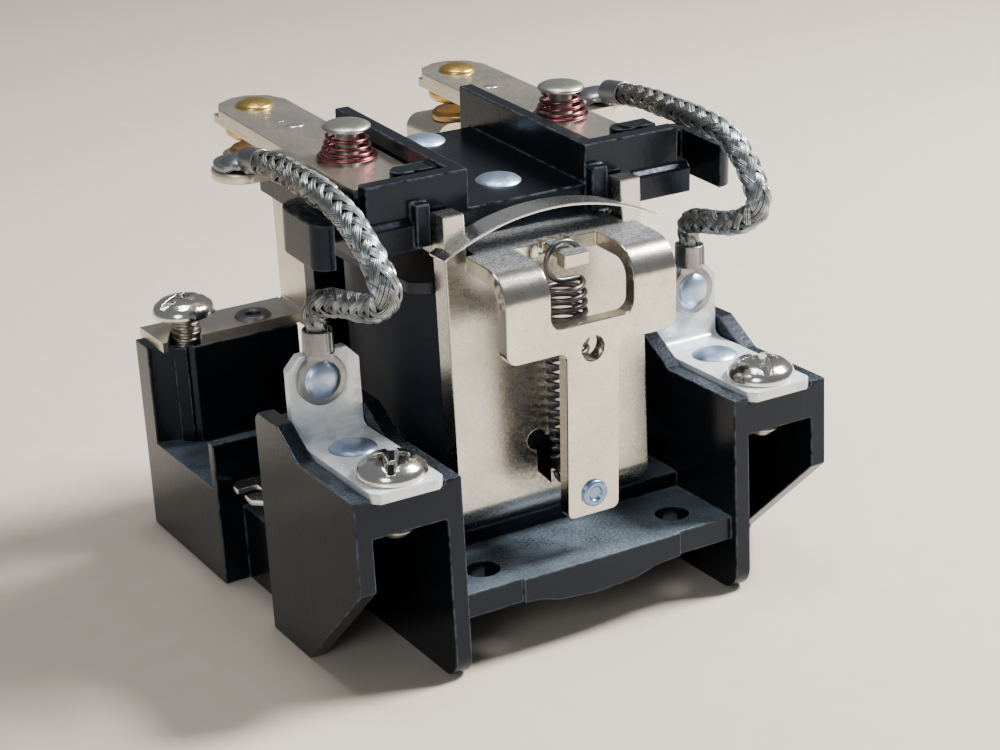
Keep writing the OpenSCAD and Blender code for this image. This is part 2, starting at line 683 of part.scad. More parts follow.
module lower_lug() {
  color([0.6, 0.61, 0.63]) union() {
    translate([lug_bx, leg_y, lug_z]) rotate([90, 0, 0]) cylinder(r = 3.1, h = 0.8, $fn = 36);
    box(lug_bx - 1.7, lug_bx + 1.7, leg_y - 0.8, leg_y, lug_z, fer_bz - fer_in - 0.4);
    translate([lug_bx, leg_y, lug_z]) rotate([90, 0, 0]) rotate_extrude($fn = 36)
      polygon([[0, 1.6], [1.2, 1.5], [1.9, 1.2], [2.25, 0.8], [1.2, 0.8], [1.2, -strip_t],
        [1.9, -strip_t], [1.6, -strip_t - 0.5], [0, -strip_t - 0.5]]);
    difference() {
      translate([lug_bx, leg_y - 0.3, fer_bz - fer_bl]) cylinder(r = fer_r, h = fer_bl, $fn = 32);
      translate([lug_bx, leg_y - 0.3, fer_bz - fer_in])
        cylinder(r = braid_d / 2 + crimp_gap, h = fer_bl, $fn = 40);
    }
  }
}
module lower_lug_right() {
  lower_lug();
}
module lower_lug_left() {
  mirror([1, 0, 0]) lower_lug();
}

// Front terminals: strip, rounded bend and upright leg with cut corners.
module front_terminal() {
  x0 = strip_x - strip_w / 2;
  x1 = strip_x + strip_w / 2;
  color([0.8, 0.8, 0.8]) difference() {
    union() {
      translate([0, 0, deck_z]) linear_extrude(strip_t) polygon([[x0, leg_y - 1.2],
        [x0, 0.4 - hd], [x0 + 0.9, -hd - 0.5], [x1 - 0.9, -hd - 0.5], [x1, 0.4 - hd],
        [x1, leg_y - 1.2]]);
      along_x(x0, x1) difference() {
        translate([leg_y - 1.3, deck_z]) square([1.3 + strip_t, 2.7]);
        translate([leg_y - 1.3, deck_z + 2.6]) circle(r = 1.3, $fn = 32);
      }
      along_y(leg_y, leg_y + strip_t) polygon([[x0, deck_z + 2.5], [x1, deck_z + 2.5],
        [x1, leg_z - 1.6], [x1 - 1.5, leg_z], [x0 + 1.5, leg_z], [x0, leg_z - 1.6]]);
    }
    cyl(strip_x, screw_y, deck_z - 1, seat_z + 1, screw_r + screw_gap, 32);
    cyl(strip_x, rivet_y, deck_z - 1, seat_z + 1, 1.7 + press_gap, 32);
    translate([lug_bx, leg_y - 1, lug_z]) rotate([-90, 0, 0])
      cylinder(r = 1.2 + press_gap, h = 4, $fn = 32);
  }
}
module front_terminal_right() {
  front_terminal();
}
module front_terminal_left() {
  mirror([1, 0, 0]) front_terminal();
}
module terminal_rivets() {
  color([0.72, 0.78, 0.86]) both() translate([strip_x, rivet_y, seat_z]) rotate_extrude($fn = 36)
    polygon([[0, 0.75], [1.5, 0.65], [2.5, 0.3], [2.9, 0], [1.7, 0], [1.7, 19.9 - seat_z],
      [0, 19.9 - seat_z]]);
}

// Rear strips: they rise behind the barrier and turn outward under the blades.
module rear_strip() {
  color([0.72, 0.68, 0.6]) difference() {
    union() {
      box(11, hw - 1, post_f + 0.2, hd + 0.5, rear_deck, rear_seat);
      along_y(22.3, 31.3) difference() {
        union() {
          translate([9.7, rear_deck + 2]) square([strip_t, fix_z - rear_deck - 4]);
          translate([11.6, fix_z - strip_t]) square([7.3, strip_t]);
          translate([9.7, fix_z - 2]) square([2, 2]);
          translate([9.7, rear_deck]) square([2, 2.2]);
        }
        difference() {
          translate([9, fix_z - 1.9]) square([2.6, 3]);
          translate([11.6, fix_z - 1.9]) circle(r = 1.9, $fn = 32);
        }
        translate([11.6, fix_z - 1.9]) circle(r = 0.6, $fn = 16);
        difference() {
          translate([9, rear_deck - 1]) square([2, 3]);
          translate([11.7, rear_deck + 2]) circle(r = 2, $fn = 32);
        }
        translate([11.7, rear_deck + 2]) circle(r = 0.7, $fn = 16);
      }
    }
    cyl(rear_x, rear_y, rear_deck - 1, rear_seat + 1, screw_r + screw_gap, 32);
    translate([rear_x, rear_y, rear_deck - 1]) rotate([0, 0, 27])
      translate([-screw_r - screw_gap, -8, 0]) cube([2 * (screw_r + screw_gap), 8, 4]);
    difference() {
      box(14.4, 20, 22, 32, fix_z - 2, fix_z + 1);
      cyl(14.4, 26.8, fix_z - 3, fix_z + 2, 4.5, 48);
    }
    cyl(rear_rx, rear_y, rear_deck - 1, rear_seat + 1, 1.7 + press_gap, 32);
    cyl(blade_x, fix_y, fix_z - 3, fix_z + 1, 1.5 + press_gap, 28);
  }
}
module rear_strip_right() {
  rear_strip();
}
module rear_strip_left() {
  mirror([1, 0, 0]) rear_strip();
}
module strip_rivets() {
  color([0.3, 0.3, 0.3]) both() translate([rear_rx, rear_y, rear_seat]) rotate_extrude($fn = 36)
    polygon([[1, 0.3], [1.4, 0.55], [2.1, 0.5], [2.5, 0], [1.7, 0], [1.7, 21.6 - rear_seat],
      [1, 21.6 - rear_seat]]);
}
module fixed_contact() {
  color([0.85, 0.6, 0.2]) translate([blade_x, fix_y, 0]) rotate_extrude($fn = 40)
    polygon([[0, 51.1], [contact_r - 0.5, 51.05], [contact_r, 50.6], [contact_r, fix_z],
      [1.5, fix_z], [1.5, fix_z - strip_t - 0.4], [0, fix_z - strip_t - 0.4]]);
}
module fixed_contact_right() {
  fixed_contact();
}
module fixed_contact_left() {
  mirror([1, 0, 0]) fixed_contact();
}

// Terminal screws: domed heads with a cross and a slot, and a plain thread.
module screw(x, y, z, turn, len) {
  translate([x, y, z]) rotate([0, 0, turn]) color([0.8, 0.8, 0.8]) difference() {
    rotate_extrude($fn = 40) polygon([[0, head_h], [1.6, head_h - 0.1], [2.9, head_h - 0.5],
      [3.8, head_h - 1.2], [head_r, head_h - 1.9], [head_r, 0], [screw_r, 0], [screw_r, 0.6 - len],
      [screw_r - 0.6, -len], [0, -len]]);
    rotate([90, 0, 90]) translate([0, 0, -head_r - 1]) linear_extrude(2 * head_r + 2)
      polygon([[-0.35, head_h - 1.1], [0.35, head_h - 1.1], [0.9, head_h + 0.1],
      [-0.9, head_h + 0.1]]);
    translate([-0.5, -2.1, head_h - 1.5]) cube([1, 4.2, 2]);
  }
}
module screw_front_left() {
  screw(-strip_x, screw_y, seat_z, 62, 7.3);
}
module screw_front_right() {
  screw(strip_x, screw_y, seat_z, 66, 7.3);
}
module screw_rear_left() {
  screw(-rear_x, rear_y, rear_seat + back_out, 20, 9);
}
module screw_rear_right() {
  screw(rear_x, rear_y, rear_seat + back_out, 70, 9);
}

base_block();
yoke_frame();
core_pole();
bobbin();
coil_winding();
coil_terminal_left();
coil_terminal_right();
armature();
stem_rivet();
hinge_leaf();
return_spring();
contact_carrier();
carrier_rivets();
blade_left();
blade_right();
moving_contact_left();
moving_contact_right();
fixed_contact_left();
fixed_contact_right();
contact_spring_left();
contact_spring_right();
spring_pin_left();
spring_pin_right();
upper_lug_left();
upper_lug_right();
pigtail_left();
pigtail_right();
lower_lug_left();
lower_lug_right();
front_terminal_left();
front_terminal_right();
terminal_rivets();
rear_strip_left();
rear_strip_right();
strip_rivets();
screw_front_left();
screw_front_right();
screw_rear_left();
screw_rear_right();
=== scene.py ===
# An open-frame power relay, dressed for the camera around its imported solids.
import bmesh
import bpy
import random
from math import cos, pi, radians, sin
from mathutils import Matrix, Vector


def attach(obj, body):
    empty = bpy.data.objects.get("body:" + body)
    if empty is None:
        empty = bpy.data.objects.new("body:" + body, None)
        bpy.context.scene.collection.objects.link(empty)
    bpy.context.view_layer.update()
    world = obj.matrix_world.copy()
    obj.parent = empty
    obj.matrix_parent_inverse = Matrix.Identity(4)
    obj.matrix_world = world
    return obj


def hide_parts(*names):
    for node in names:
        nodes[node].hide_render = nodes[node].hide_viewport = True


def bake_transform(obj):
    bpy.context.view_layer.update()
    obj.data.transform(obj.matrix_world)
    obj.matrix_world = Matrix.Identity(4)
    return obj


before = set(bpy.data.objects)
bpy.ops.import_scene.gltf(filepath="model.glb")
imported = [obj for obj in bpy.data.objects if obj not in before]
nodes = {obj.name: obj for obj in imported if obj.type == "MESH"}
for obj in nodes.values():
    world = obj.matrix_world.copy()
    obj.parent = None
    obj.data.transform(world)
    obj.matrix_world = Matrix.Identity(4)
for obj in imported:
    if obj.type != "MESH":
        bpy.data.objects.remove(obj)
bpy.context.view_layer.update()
MM = 0.001

# Camera, floor and light
# The relay stands on a plain pale table under soft studio light. It is seen from its front
# left corner, from a little above.
azimuth, elevation, roll = radians(-29.03), radians(20.37), radians(-3.10)
target = Vector((1.97, -5.07, 24.41)) * MM
distance = 277.57 * MM
back = Vector((sin(azimuth) * cos(elevation), -cos(azimuth) * cos(elevation), sin(elevation)))
right = Vector((0, 0, 1)).cross(back).normalized()
up = back.cross(right)
right, up = right * cos(roll) + up * sin(roll), up * cos(roll) - right * sin(roll)
lens = bpy.data.cameras.new("camera")
lens.sensor_width = 36.0
lens.lens = 79.90
lens.clip_start = 0.01
camera = bpy.data.objects.new("camera", lens)
bpy.context.scene.collection.objects.link(camera)
turn = Matrix((right, up, back)).transposed().to_4x4()
camera.matrix_world = Matrix.Translation(target + back * distance) @ turn
bpy.context.scene.camera = camera


class Wire:
    """A socket of a material; sums on it add Math nodes."""

    def __init__(self, finish, socket):
        self.finish = finish
        self.socket = socket

    def maths(self, operation, a, b=0.0, clip=False):
        return self.finish.node("ShaderNodeMath", {"operation": operation, "use_clamp": clip},
                                {0: a, 1: b})

    def __add__(self, other):
        return self.maths("ADD", self, other)

    def __radd__(self, other):
        return self.maths("ADD", other, self)

    def __sub__(self, other):
        return self.maths("SUBTRACT", self, other)

    def __rsub__(self, other):
        return self.maths("SUBTRACT", other, self)

    def __mul__(self, other):
        return self.maths("MULTIPLY", self, other)

    def __rmul__(self, other):
        return self.maths("MULTIPLY", other, self)

    def __truediv__(self, other):
        return self.maths("DIVIDE", self, other)

    def clip(self):
        return self.maths("ADD", self, 0.0, clip=True)

    def over(self, low, high):
        """0 below low, 1 above high, and a straight ramp between."""
        return ((self - low) / (high - low)).clip()


class Finish:
    """A material with object coordinates, and the few node shapes that the relay needs."""

    def __init__(self, name, color, rough, metal=0.0):
        self.material = bpy.data.materials.new(name)
        self.material.use_nodes = True
        self.tree = self.material.node_tree
        self.shader = self.tree.nodes["Principled BSDF"]
        self.shader.inputs["Base Color"].default_value = (*color, 1)
        self.shader.inputs["Roughness"].default_value = rough
        self.shader.inputs["Metallic"].default_value = metal
        self.place = self.node("ShaderNodeTexCoord", {}, {}, "Object")

    def node(self, kind, settings, values, out=0):
        """Adds a node: its settings first, then the values or links of its sockets."""
        made = self.tree.nodes.new(kind)
        for key, value in settings.items():
            setattr(made, key, value)
        for key, value in values.items():
            if isinstance(value, Wire):
                self.tree.links.new(value.socket, made.inputs[key])
            else:
                made.inputs[key].default_value = value
        return Wire(self, made.outputs[out])

    def feed(self, name, wire):
        self.tree.links.new(wire.socket, self.shader.inputs[name])

    def axis(self, vector, letter):
        return self.node("ShaderNodeSeparateXYZ", {}, {"Vector": vector}, letter)

    def normal(self):
        return self.node("ShaderNodeNewGeometry", {}, {}, "Normal")

    def noise(self, scale, detail=2.0, rough=0.5):
        """Noise whose spots are about one over scale metres across."""
        return self.node("ShaderNodeTexNoise", {},
                         {"Vector": self.place, "Scale": scale, "Detail": detail,
                          "Roughness": rough}, "Fac")

    def blend(self, factor, a, b):
        """Colour a where the factor is 0 and colour b where it is 1."""
        return self.node("ShaderNodeMix", {"data_type": "RGBA"},
                         {0: factor, 6: a if isinstance(a, Wire) else (*a, 1),
                          7: b if isinstance(b, Wire) else (*b, 1)}, 2)

    def edge(self, radius):
        """How far the surface turns within radius: 0 on a flat, up to 1 on a corner."""
        soft = self.node("ShaderNodeBevel", {"samples": 4}, {"Radius": radius}, "Normal")
        same = self.node("ShaderNodeVectorMath", {"operation": "DOT_PRODUCT"},
                         {0: soft, 1: self.normal()}, "Value")
        return 1.0 - same

    def bump(self, height, distance, strength=1.0):
        relief = self.node("ShaderNodeBump", {}, {"Height": height, "Distance": distance,
                                                  "Strength": strength})
        self.feed("Normal", relief)


def deselect():
    if bpy.context.object and bpy.context.object.mode != "OBJECT":
        bpy.ops.object.mode_set(mode="OBJECT")
    bpy.ops.object.select_all(action="DESELECT")


table = Finish("table_top", (0.60, 0.53, 0.44), 0.75)
grain = table.noise(260, 3)
table.feed("Base Color", table.blend(grain, (0.57, 0.50, 0.41), (0.63, 0.56, 0.47)))
deselect()
bpy.ops.mesh.primitive_plane_add(size=4, location=(0, 0, 0))
floor = bpy.context.object
floor.name = "table_top"
floor.data.materials.append(table.material)


def lamp(name, place, size, watts, color=(1, 1, 1)):
    light = bpy.data.lights.new(name, "AREA")
    light.shape = "DISK"
    light.size = size
    light.energy = watts
    light.color = color
    holder = bpy.data.objects.new(name, light)
    bpy.context.scene.collection.objects.link(holder)
    holder.location = place
    aim = Vector(place) - Vector((0, 0, 0.03))
    holder.rotation_euler = aim.to_track_quat("Z", "Y").to_euler()


lamp("key", (0.36, -0.10, 0.40), 0.17, 9.5, (1.0, 0.98, 0.95))
lamp("overhead", (0.0, 0.05, 0.60), 0.22, 1.3)
lamp("fill", (-0.40, -0.36, 0.26), 0.22, 0.8, (0.93, 0.96, 1.0))
sky = bpy.data.worlds.new("sky")
bpy.context.scene.world = sky
sky.use_nodes = True
sky.node_tree.nodes["Background"].inputs["Color"].default_value = (0.93, 0.96, 1.0, 1)
sky.node_tree.nodes["Background"].inputs["Strength"].default_value = 0.19

# Moulded base
# One compression-moulded block of charcoal phenolic: two front terminal blocks, the front
# ledge with its two fixing holes, the platform under the frame and two rear blocks.
phenolic = Finish("phenolic", (0.0038, 0.004, 0.005), 0.30)
phenolic.shader.inputs["Specular IOR Level"].default_value = 0.42
phenolic.shader.inputs["Specular Tint"].default_value = (0.50, 0.62, 0.86, 1)
speckle = phenolic.noise(3200, 4, 0.7).over(0.42, 0.62)
patch = phenolic.noise(75, 4, 0.6).over(0.36, 0.66)
# Rounded edges are painted lighter: partly real wear and partly a painted highlight along the
# edges.
wear_and_edge_highlight = phenolic.edge(0.0004).over(0.02, 0.20) * phenolic.noise(900, 3).over(0.35, 0.6)
facing = phenolic.axis(phenolic.normal(), "Z").over(0.75, 0.98)
low_down = 1.0 - phenolic.axis(phenolic.place, "Z").over(0.012, 0.030)
dusty = facing * low_down * (0.3 + 0.7 * patch) * (0.35 + 0.65 * speckle)
dirty = (dusty + 0.010 * speckle * patch).clip()
tone = phenolic.blend(dirty, (0.0034, 0.004, 0.0056), (0.20, 0.26, 0.32))
phenolic.feed("Base Color", phenolic.blend(wear_and_edge_highlight, tone, (0.14, 0.17, 0.21)))
phenolic.feed("Roughness", 0.16 + 0.38 * dirty + 0.12 * phenolic.noise(160, 2))
phenolic.bump(phenolic.noise(1500, 3) + 0.6 * phenolic.noise(420, 2), 0.00005, 0.5)


def weigh_edges(mesh, width, angle):
    """Bevel weights for the edges that turn by more than angle, less beside a slim face."""
    work = bmesh.new()
    work.from_mesh(mesh)
    weight = work.edges.layers.float.new("bevel_weight_edge")
    for edge in work.edges:
        if len(edge.link_faces) != 2 or edge.calc_face_angle() < angle:
            continue
        along = (edge.verts[1].co - edge.verts[0].co).normalized()
        room = width
        for corner in edge.verts:
            for other in corner.link_edges:
                run = other.other_vert(corner).co - corner.co
                if other is not edge and abs(run.normalized().dot(along)) < 0.82:
                    room = min(room, 0.45 * run.length)
        edge[weight] = room / width
    work.to_mesh(mesh)
    work.free()


def eased(name, width, angle=30):
    """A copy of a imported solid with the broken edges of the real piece, width wide."""
    deselect()
    copy = bpy.data.objects.new(name + "_shape", nodes[name].data.copy())
    bpy.context.scene.collection.objects.link(copy)
    copy.select_set(True)
    bpy.context.view_layer.objects.active = copy
    bpy.ops.object.mode_set(mode="EDIT")
    bpy.ops.mesh.select_all(action="SELECT")
    bpy.ops.mesh.remove_doubles(threshold=2e-6)
    bpy.ops.mesh.dissolve_limited(angle_limit=radians(0.6))
    bpy.ops.mesh.vert_connect_concave()
    bpy.ops.object.mode_set(mode="OBJECT")
    bpy.ops.mesh.customdata_custom_splitnormals_clear()
    weigh_edges(copy.data, width * MM, radians(angle))
    rim = copy.modifiers.new("edge", "BEVEL")
    rim.width = width * MM
    rim.segments = 2
    rim.limit_method = "WEIGHT"
    rim.use_clamp_overlap = False
    rim.loop_slide = False
    rim.face_strength_mode = "FSTR_ALL"
    bpy.ops.object.modifier_apply(modifier="edge")
    return copy


def seat(piece, finish, body, slot, *replaced, smooth=32):
    """Finishes a piece: its material, shading, body and the solids it stands for; slot is not used.
    """
    deselect()
    piece.select_set(True)
    bpy.context.view_layer.objects.active = piece
    bpy.ops.object.shade_smooth_by_angle(angle=radians(smooth))
    even = piece.modifiers.new("even", "WEIGHTED_NORMAL")
    even.keep_sharp = True
    even.use_face_influence = True
    bpy.ops.object.modifier_apply(modifier="even")
    piece.data.materials.clear()
    piece.data.materials.append(finish.material)
    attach(piece, body)
    if replaced:
        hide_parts(*replaced)


seat(eased("base_block", 0.22), phenolic, "base", "phenolic", "base_block")

# A thin web closes each rear post where the screw's hole comes close to its notch.
web_x, web_y, web_z, web_turn = 28.22, 25.76, 19.4, radians(46.5)
web_size = Vector((1.9, 0.3, 13.2)) * MM
for sign in (-1, 1):
    deselect()
    bpy.ops.mesh.primitive_cube_add(size=1, location=Vector((sign * web_x, web_y, web_z)) * MM,
                                    rotation=(0, 0, sign * web_turn))
    web = bpy.context.object
    web.name = f"post_web_{sign}"
    web.scale = web_size
    bpy.ops.object.transform_apply(location=True, rotation=True, scale=True)
    seat(web, phenolic, "base", "phenolic")

# Iron frame, core and hinge leaf
# The frame is bent from 3 mm strip and plated in a warm, grainy nickel; its two ears hold
# a thin arched leaf that keeps the armature on its hinge edge.


def plated(name, bright, dark, rough, soil=0.35, specks=0.0):
    """Satin plate over rolled strip, with a fine grain, handling marks and small specks."""
    metal = Finish(name, bright, rough, 1.0)
    fine = metal.noise(2100, 4, 0.7)
    cloud = metal.noise(110, 4, 0.6).over(0.42, 0.72)
    spots = metal.noise(330, 4, 0.65).over(0.56, 0.72)
    stain = (cloud * soil + spots * soil * 0.6 + 0.25 * soil * fine.over(0.35, 0.7)).clip()
    shade = metal.blend(stain, bright, dark)
    if specks:
        speck = metal.noise(5200, 2).over(0.62, 0.72) * metal.noise(200, 3).over(0.45, 0.65)
        shade = metal.blend(speck * specks, shade, tuple(c * 0.35 for c in dark))
    metal.shade = shade
    metal.feed("Base Color", shade)
    metal.feed("Roughness", rough - 0.06 + 0.16 * fine + 0.2 * stain)
    metal.bump(fine + 0.4 * metal.noise(700, 3), 0.00003, 0.45)
    return metal


framed = plated("frame_nickel", (0.71, 0.70, 0.66), (0.38, 0.36, 0.32), 0.23, soil=0.3, specks=0.8)
# Round the spring's lower hook the frame is painted darker: partly soot and partly a painted shadow
# of the return spring.
near_hook = framed.node("ShaderNodeVectorMath", {"operation": "DISTANCE"},
                        {0: framed.place, 1: (0.0, -0.024, 0.021)}, "Value")
soot_and_shadow = (1.0 - near_hook.over(0.0045, 0.0085)) * (0.55 + 0.45 * framed.noise(1800, 3).over(0.4, 0.6))
framed.feed("Base Color", framed.blend(soot_and_shadow * 0.85, framed.shade, (0.04, 0.038, 0.036)))

# The spring's lug is bent out of the plate, so a notch opens beside and above it. The small
# round relief hole runs into the notch, and its rim is moved there first.
plate = eased("yoke_frame", 0.25)
relief, relief_reach, relief_shift = Vector((-3.2, 23.2)), 1.6, Vector((0.74, 0, -1.2))
for corner in plate.data.vertices:
    if (Vector((corner.co.x, corner.co.z)) / MM - relief).length < relief_reach:
        corner.co += relief_shift * MM
outline = ((-2.5, 22.3), (-2.55, 18.05), (-0.72, 16.0), (-0.72, 19.4), (1.2, 19.4), (1.2, 22.3))
cut_front, cut_depth = -22.5, 5.5
sheet = bpy.data.meshes.new("notch")
sheet.from_pydata([Vector((x, cut_front, z)) * MM for x, z in outline], [],
                  [tuple(range(len(outline)))])
notch = bpy.data.objects.new("notch", sheet)
bpy.context.scene.collection.objects.link(notch)
deselect()
notch.select_set(True)
bpy.context.view_layer.objects.active = notch
bpy.ops.object.mode_set(mode="EDIT")
bpy.ops.mesh.select_all(action="SELECT")
bpy.ops.mesh.extrude_region_move(TRANSFORM_OT_translate={"value": (0, cut_depth * MM, 0)})
bpy.ops.mesh.select_all(action="SELECT")
bpy.ops.mesh.normals_make_consistent(inside=False)
deselect()
plate.select_set(True)
bpy.context.view_layer.objects.active = plate
opening = plate.modifiers.new("opening", "BOOLEAN")
opening.operation = "DIFFERENCE"
opening.object = notch
bpy.ops.object.modifier_apply(modifier="opening")
bpy.data.objects.remove(notch)
seat(plate, framed, "base", "warm_nickel", "yoke_frame")
iron = plated("core_iron", (0.55, 0.54, 0.52), (0.34, 0.31, 0.28), 0.40)
seat(eased("core_pole", 0.2), iron, "base", "core_iron", "core_pole")
thin = plated("tab_nickel", (0.92, 0.92, 0.90), (0.62, 0.61, 0.58), 0.22, soil=0.15)
seat(eased("hinge_leaf", 0.08), thin, "base", "tab_nickel", "hinge_leaf")

# Coil on its bobbin
# The bobbin is moulded in black plastic, with a square flange at each end. The winding
# between them is wrapped in dark varnished tape, and a plated tab stands out at each side.
black = Finish("bobbin_plastic", (0.022, 0.023, 0.028), 0.40)
black.shader.inputs["Specular Tint"].default_value = (0.66, 0.75, 0.95, 1)
black.bump(black.noise(1300, 3), 0.00004, 0.5)
black.feed("Roughness", 0.34 + 0.18 * black.noise(200, 3))
seat(eased("bobbin", 0.2), black, "base", "bobbin_plastic", "bobbin")
tape = Finish("winding_tape", (0.015, 0.017, 0.023), 0.5)
tape.shader.inputs["Specular Tint"].default_value = (0.66, 0.75, 0.95, 1)
layers = tape.node("ShaderNodeTexWave", {"bands_direction": "Z", "wave_profile": "SAW"},
                   {"Vector": tape.place, "Scale": 55.0, "Distortion": 0.6, "Detail": 1.0}, "Fac")
tape.feed("Roughness", 0.38 + 0.25 * tape.noise(240, 3))
tape.bump(layers + 0.5 * tape.noise(500, 3), 0.00012, 0.7)
nodes["coil_winding"].data.materials.clear()
nodes["coil_winding"].data.materials.append(tape.material)
for name in ("coil_terminal_left", "coil_terminal_right"):
    seat(eased(name, 0.08), thin, "base", "tab_nickel", name)

# Armature
# Punched and bent from 1.9 mm strip: the plate over the coil, the window over the bend and
# the T-shaped arm with a blue-grey rivet. Its top is mottled and painted dark blue-grey, a painted
# reflection. Its sheared sides are dull and painted darker as painted shade, and its edges carry
# painted shade with a little dirt.
polished = plated("armature_nickel", (0.78, 0.76, 0.71), (0.46, 0.42, 0.34), 0.20, soil=0.42,
                  specks=0.5)
turned = polished.normal()
# The flat top is painted a mottled dark blue-grey: a painted dark reflection, with some mottling.
level = polished.axis(turned, "Z").over(0.90, 0.99)
level = level * polished.axis(polished.place, "Z").over(0.0452, 0.0462)
mottle = polished.noise(3200, 4, 0.7).over(0.44, 0.58)
mottled_top_reflection = polished.blend(mottle, (0.09, 0.11, 0.15), (0.70, 0.75, 0.82))
# The edges are painted darker: painted shade, with a little dirt.
rim = polished.edge(0.0003).over(0.03, 0.25) * 0.55
face = polished.blend(level * 0.75, polished.shade, mottled_top_reflection)
# The faces that look sideways are painted darker: partly dull sheared metal and partly painted
# shade.
sideways = polished.node("ShaderNodeMath", {"operation": "ABSOLUTE"},
                         {0: polished.axis(turned, "X")})
sheared_and_shaded = sideways.over(0.90, 0.98)
face = polished.blend(sheared_and_shaded * 0.7, face, (0.26, 0.24, 0.19))
tarnish = polished.noise(900, 4, 0.7).over(0.47, 0.62) * polished.noise(150, 3).over(0.35, 0.6)
face = polished.blend(tarnish * 0.45, face, (0.52, 0.49, 0.36))
pits = polished.noise(3100, 3, 0.6).over(0.63, 0.69)
face = polished.blend(pits * 0.7, face, (0.22, 0.21, 0.19))
polished.feed("Base Color", polished.blend(rim, face, (0.16, 0.155, 0.15)))
polished.feed("Roughness", 0.12 + 0.14 * polished.noise(2100, 4, 0.7) + 0.25 * level)
seat(eased("armature", 0.22), polished, "armature", "warm_nickel", "armature")
deep = plated("stem_zinc", (0.36, 0.50, 0.74), (0.10, 0.16, 0.28), 0.24, soil=0.6)
seat(eased("stem_rivet", 0.08), deep, "armature", "zinc_rivet", "stem_rivet", smooth=50)

# Return spring
# A close tension coil of dark steel wire between the lug on the frame and the tongue in the
# armature's window. Each of its ends is turned up into a ring that hooks over its holder.
dark = Finish("dark_spring", (0.15, 0.145, 0.15), 0.25, 1.0)
dark.feed("Roughness", 0.22 + 0.25 * dark.noise(800, 2))
coil_r, coil_y, low_ring, high_ring, coil_turns, per_turn = 2.3, -25.0, 19.6, 44.7, 18, 24
coil_rise, coil_steps = high_ring - low_ring - 2 * coil_r, coil_turns * per_turn


def wires(name, lines, thick, finish, sides=1):
    """Round wires along lines of points in millimetres, as one mesh."""
    deselect()
    curve = bpy.data.curves.new(name, "CURVE")
    curve.dimensions = "3D"
    curve.bevel_depth = thick / 2 * MM
    curve.bevel_resolution = sides
    curve.use_fill_caps = True
    for line in lines:
        spline = curve.splines.new("POLY")
        spline.points.add(len(line) - 1)
        for knot, point in zip(spline.points, line):
            knot.co = (*(point * MM), 1)
    piece = bpy.data.objects.new(name, curve)
    bpy.context.scene.collection.objects.link(piece)
    piece.select_set(True)
    bpy.context.view_layer.objects.active = piece
    bpy.ops.object.convert(target="MESH")
    piece = bpy.context.object
    piece.name = name
    piece.data.materials.clear()
    piece.data.materials.append(finish.material)
    bpy.ops.object.shade_smooth()
    return piece


def ease(t):
    """A soft step from 0 to 1."""
    t = min(1.0, max(0.0, t))
    return t * t * (3 - 2 * t)


coil = []
for k in range(-100, 0):
    a = radians(90 + k * 2.6)
    coil.append(Vector((coil_r * cos(a), coil_y, low_ring + coil_r * sin(a))))
for i in range(coil_steps + 1):
    a = pi / 2 + 2 * pi * i / per_turn
    round_out = ease(2 * i / per_turn) * ease(2 * (coil_steps - i) / per_turn)
    coil.append(Vector((coil_r * cos(a), coil_y + coil_r * sin(a) * round_out,
                        low_ring + coil_r + coil_rise * i / coil_steps)))
for k in range(1, 100):
    a = radians(-90 - k * 2.9)
    coil.append(Vector((coil_r * cos(a), coil_y, high_ring + coil_r * sin(a))))
spring = wires("return_spring_wire", [coil], 0.7, dark, 3)
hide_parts("return_spring")
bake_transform(spring)

# Contact carrier
# Moulded in the same phenolic as the base, with a pocket for each blade. Two zinc-plated
# rivets hold it on the armature plate.
seat(eased("contact_carrier", 0.25), phenolic, "armature", "phenolic", "contact_carrier")
zinc = plated("zinc_rivet", (0.60, 0.76, 0.98), (0.24, 0.33, 0.50), 0.30, soil=0.55)
zinc.bump(zinc.noise(1400, 4, 0.65), 0.00005, 0.7)
seat(eased("carrier_rivets", 0.08), zinc, "armature", "zinc_rivet", "carrier_rivets", smooth=50)

# Contact blades and contacts
# Each blade is a plated strip on a stiffer under-strip; a gold-coloured rivet contact is
# staked through its rear end, and a side tab takes the pigtail's lug.
tilt, hinge = radians(3.4), Vector((0, -21.2, 44.9))
weld_marks = {"left": ((-15.0, 17.9, 0.5), (-14.2, 15.3, 1.2)), "right": ((14.6, 16.6, 1.1),)}


def tilted(x, y, z):
    """A point of the level armature, carried to where the armature rests."""
    return hinge + Matrix.Rotation(tilt, 3, "X") @ (Vector((x, y, z)) - hinge)


warm = plated("warm_nickel", (0.82, 0.77, 0.67), (0.52, 0.46, 0.37), 0.29, soil=0.36, specks=0.4)
gold = plated("contact_gold", (0.85, 0.58, 0.17), (0.50, 0.32, 0.10), 0.24, soil=0.25)
# The fixed contacts' copper is painted darker as painted shade, for the shadow they sit in.
copper = plated("contact_copper", (0.55, 0.36, 0.16), (0.30, 0.17, 0.07), 0.32, soil=0.35)
for side in ("left", "right"):
    blade, moving, fixed = f"blade_{side}", f"moving_contact_{side}", f"fixed_contact_{side}"
    seat(eased(blade, 0.15), warm, blade, "warm_nickel", blade)
    for i, (x, y, wide) in enumerate(weld_marks[side]):
        deselect()
        at = tilted(x, y, 53.30) * MM
        bpy.ops.mesh.primitive_uv_sphere_add(radius=wide * MM, segments=24, ring_count=12,
                                             location=at, rotation=(tilt, 0, 0))
        mark = bpy.context.object
        mark.scale = (1, 0.8, 0.14)
        mark.name = f"weld_mark_{side}_{i}"
        bpy.ops.object.transform_apply(location=True, rotation=True, scale=True)
        seat(mark, thin, blade, "tab_nickel", smooth=80)
    seat(eased(moving, 0.12), gold, blade, "contact_gold", moving, smooth=50)
    seat(eased(fixed, 0.12), copper, "base", "contact_copper", fixed, smooth=50)

